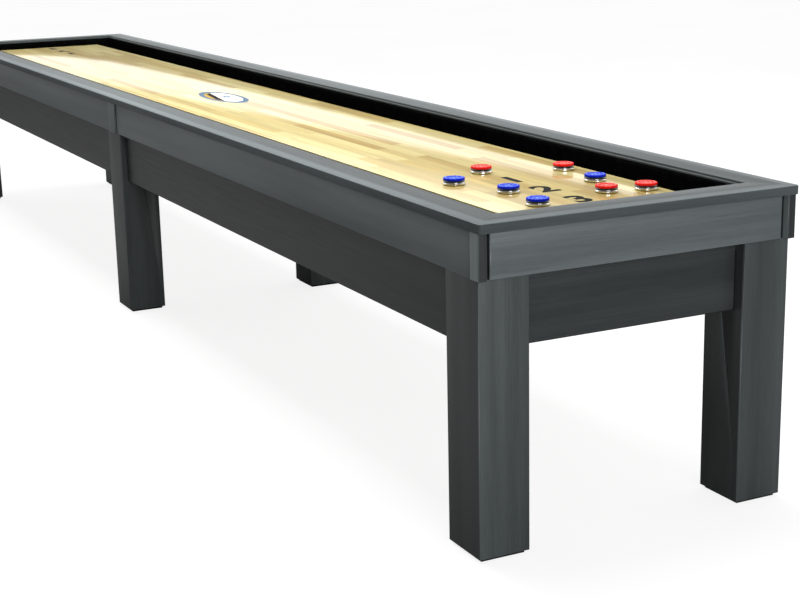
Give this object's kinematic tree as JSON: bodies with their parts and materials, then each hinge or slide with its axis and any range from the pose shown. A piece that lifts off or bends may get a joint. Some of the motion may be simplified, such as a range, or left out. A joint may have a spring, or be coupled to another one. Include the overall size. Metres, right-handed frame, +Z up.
{
  "type": "shuffleboard table",
  "caption": "Long table shuffleboard: gloss maple playfield in carpeted gutters, mitred top rails, square block legs, sliding pucks and screw feet.",
  "frame": {"origin": "on the floor under the centre of the table", "axes": "+X along the table to the near end where the pucks stand, +Y across it to the right side, +Z up"},
  "size_m": [5.486, 0.88, 0.8],
  "materials": {
    "stained_wood": "charcoal grey stained hardwood with a satin lacquer",
    "maple_board": "butcher-block maple",
    "clear_coating": "thick clear gloss polymer over maple",
    "black_carpet": "black cut-pile gutter carpet",
    "birch_plywood": "unfinished plywood",
    "frame_hardwood": "planed, unfinished",
    "zinc_steel": "bright zinc plate",
    "brass_insert": "turned",
    "black_plastic": "moulded, fine texture",
    "chromed_steel": "polished chrome",
    "red_plastic": "polished moulded plastic",
    "blue_plastic": "polished moulded plastic"
  },
  "bodies": {
    "table": {"adjuster_brackets": "zinc_steel", "apron_brackets": "zinc_steel", "board_bearers": "frame_hardwood", "corner_blocks": "frame_hardwood", "corner_posts": "stained_wood", "crossbeams": "frame_hardwood", "end_apron_far": "stained_wood", "end_apron_near": "stained_wood", "end_panel_far": "stained_wood", "end_panel_near": "stained_wood", "gutter_floors": "birch_plywood", "gutter_liners": "black_carpet", "gutter_walls": "birch_plywood", "leg_bolts": "zinc_steel", "leg_far_left": "stained_wood", "leg_far_right": "stained_wood", "leg_middle_left": "stained_wood", "leg_middle_right": "stained_wood", "leg_near_left": "stained_wood", "leg_near_right": "stained_wood", "mid_stiles": "stained_wood", "playfield_board": "maple_board", "playfield_coating": "clear_coating", "rail_cleats": "frame_hardwood", "side_aprons_left": "stained_wood", "side_aprons_right": "stained_wood", "side_panels_left": "stained_wood", "side_panels_right": "stained_wood", "threaded_inserts": "brass_insert", "top_rail_far": "stained_wood", "top_rail_left": "stained_wood", "top_rail_near": "stained_wood", "top_rail_right": "stained_wood", "wood_screws": "zinc_steel"},
    "puck_blue_1": {"puck_weight_blue_1": "chromed_steel", "puck_cap_blue_1": "blue_plastic"},
    "puck_blue_2": {"puck_weight_blue_2": "chromed_steel", "puck_cap_blue_2": "blue_plastic"},
    "puck_blue_3": {"puck_weight_blue_3": "chromed_steel", "puck_cap_blue_3": "blue_plastic"},
    "puck_blue_4": {"puck_weight_blue_4": "chromed_steel", "puck_cap_blue_4": "blue_plastic"},
    "puck_red_1": {"puck_weight_red_1": "chromed_steel", "puck_cap_red_1": "red_plastic"},
    "puck_red_2": {"puck_weight_red_2": "chromed_steel", "puck_cap_red_2": "red_plastic"},
    "puck_red_3": {"puck_weight_red_3": "chromed_steel", "puck_cap_red_3": "red_plastic"},
    "puck_red_4": {"puck_weight_red_4": "chromed_steel", "puck_cap_red_4": "red_plastic"},
    "foot_near_left": {"foot_near_left": "black_plastic"},
    "foot_near_right": {"foot_near_right": "black_plastic"},
    "foot_middle_left": {"foot_middle_left": "black_plastic"},
    "foot_middle_right": {"foot_middle_right": "black_plastic"},
    "foot_far_left": {"foot_far_left": "black_plastic"},
    "foot_far_right": {"foot_far_right": "black_plastic"},
    "adjuster_rod_1": {"adjuster_rod_1": "zinc_steel"},
    "adjuster_rod_2": {"adjuster_rod_2": "zinc_steel"},
    "adjuster_rod_3": {"adjuster_rod_3": "zinc_steel"},
    "adjuster_rod_4": {"adjuster_rod_4": "zinc_steel"}
  },
  "joints": [
    {"name": "puck_blue_1_slide", "type": "slide", "parent": "table", "child": "puck_blue_1", "axis": [1, 0, 0], "range_m": [-4.63, 0.2]},
    {"name": "puck_blue_2_slide", "type": "slide", "parent": "table", "child": "puck_blue_2", "axis": [1, 0, 0], "range_m": [-4.8, 0.07]},
    {"name": "puck_blue_3_slide", "type": "slide", "parent": "table", "child": "puck_blue_3", "axis": [1, 0, 0], "range_m": [-0.04, 0.045]},
    {"name": "puck_blue_4_slide", "type": "slide", "parent": "table", "child": "puck_blue_4", "axis": [1, 0, 0], "range_m": [-0.04, 0.06]},
    {"name": "puck_red_1_slide", "type": "slide", "parent": "table", "child": "puck_red_1", "axis": [1, 0, 0], "range_m": [-4.515, 0.5]},
    {"name": "puck_red_2_slide", "type": "slide", "parent": "table", "child": "puck_red_2", "axis": [1, 0, 0], "range_m": [-4.59, 0.07]},
    {"name": "puck_red_3_slide", "type": "slide", "parent": "table", "child": "puck_red_3", "axis": [1, 0, 0], "range_m": [-4.93, 0.1]},
    {"name": "puck_red_4_slide", "type": "slide", "parent": "table", "child": "puck_red_4", "axis": [1, 0, 0], "range_m": [-0.04, 0.07]},
    {"name": "foot_near_left_screw", "type": "slide", "parent": "table", "child": "foot_near_left", "axis": [0, 0, -1], "range_m": [0, 0.015]},
    {"name": "foot_near_right_screw", "type": "slide", "parent": "table", "child": "foot_near_right", "axis": [0, 0, -1], "range_m": [0, 0.015]},
    {"name": "foot_middle_left_screw", "type": "slide", "parent": "table", "child": "foot_middle_left", "axis": [0, 0, -1], "range_m": [0, 0.015]},
    {"name": "foot_middle_right_screw", "type": "slide", "parent": "table", "child": "foot_middle_right", "axis": [0, 0, -1], "range_m": [0, 0.015]},
    {"name": "foot_far_left_screw", "type": "slide", "parent": "table", "child": "foot_far_left", "axis": [0, 0, -1], "range_m": [0, 0.015]},
    {"name": "foot_far_right_screw", "type": "slide", "parent": "table", "child": "foot_far_right", "axis": [0, 0, -1], "range_m": [0, 0.015]},
    {"name": "adjuster_rod_1_turn", "type": "hinge", "parent": "table", "child": "adjuster_rod_1", "pos_m": [2.223, 0, 0.69], "axis": [0, 1, 0], "range_deg": [-360, 360]},
    {"name": "adjuster_rod_2_turn", "type": "hinge", "parent": "table", "child": "adjuster_rod_2", "pos_m": [1.01, 0, 0.69], "axis": [0, 1, 0], "range_deg": [-360, 360]},
    {"name": "adjuster_rod_3_turn", "type": "hinge", "parent": "table", "child": "adjuster_rod_3", "pos_m": [-1.01, 0, 0.69], "axis": [0, 1, 0], "range_deg": [-360, 360]},
    {"name": "adjuster_rod_4_turn", "type": "hinge", "parent": "table", "child": "adjuster_rod_4", "pos_m": [-2.223, 0, 0.69], "axis": [0, 1, 0], "range_deg": [-360, 360]}
  ]
}
